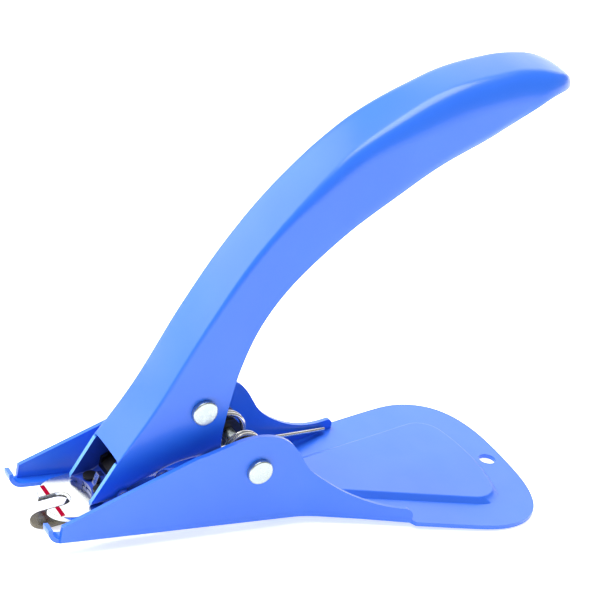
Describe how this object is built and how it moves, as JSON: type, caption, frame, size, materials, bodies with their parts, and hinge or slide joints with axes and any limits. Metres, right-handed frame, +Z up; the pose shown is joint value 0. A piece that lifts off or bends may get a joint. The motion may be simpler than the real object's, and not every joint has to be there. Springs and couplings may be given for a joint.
{
  "type": "staple remover",
  "caption": "Pressed-steel staple remover: arched lever handle on a forked base with a round rear pad, slotted upper jaw, lifting tongue, pivot pin and return spring.",
  "frame": {"origin": "on the flat sole of the base, on the middle plane, under the centre of the rear pad's round end", "axes": "+X from the jaws towards the rear pad, +Y across the tool to the right arm seen from behind the pad, +Z up; the tool's middle plane is y = 0 and its sole is z = 0"},
  "size_m": [0.1436, 0.063, 0.1265],
  "materials": {
    "base_paint": "semi-gloss blue enamel",
    "handle_paint": "semi-gloss blue enamel",
    "rivet_steel": "nickel-plated satin",
    "plated_steel": "zinc-plated satin",
    "dark_sleeve": "dark, satin",
    "spring_steel": "drawn bright wire",
    "frame_steel": "oil-blacked",
    "jaw_steel": "nickel-plated, polished",
    "tongue_steel": "hardened, polished",
    "bush_brass": "turned"
  },
  "bodies": {
    "base": {"base_frame": "base_paint", "pivot_pin": "rivet_steel", "pivot_spacers": "plated_steel", "spring_sleeves": "dark_sleeve", "torsion_spring": "spring_steel"},
    "handle": {"handle_shell": "handle_paint", "inner_frame": "frame_steel", "handle_rivet": "rivet_steel", "rivet_spacer": "plated_steel", "fork_plate": "jaw_steel", "pivot_bushes": "bush_brass", "jaw_spacer": "frame_steel", "lifting_tongue": "tongue_steel", "jaw_rivets": "frame_steel"}
  },
  "joints": [
    {"name": "handle_pivot", "type": "hinge", "parent": "base", "child": "handle", "pos_m": [-0.0517, 0, 0.0159], "axis": [0, 1, 0], "range_deg": [0, 24], "stiffness_Nm_per_rad": 1, "springref_deg": -20.05, "deforming": ["torsion_spring"]}
  ]
}
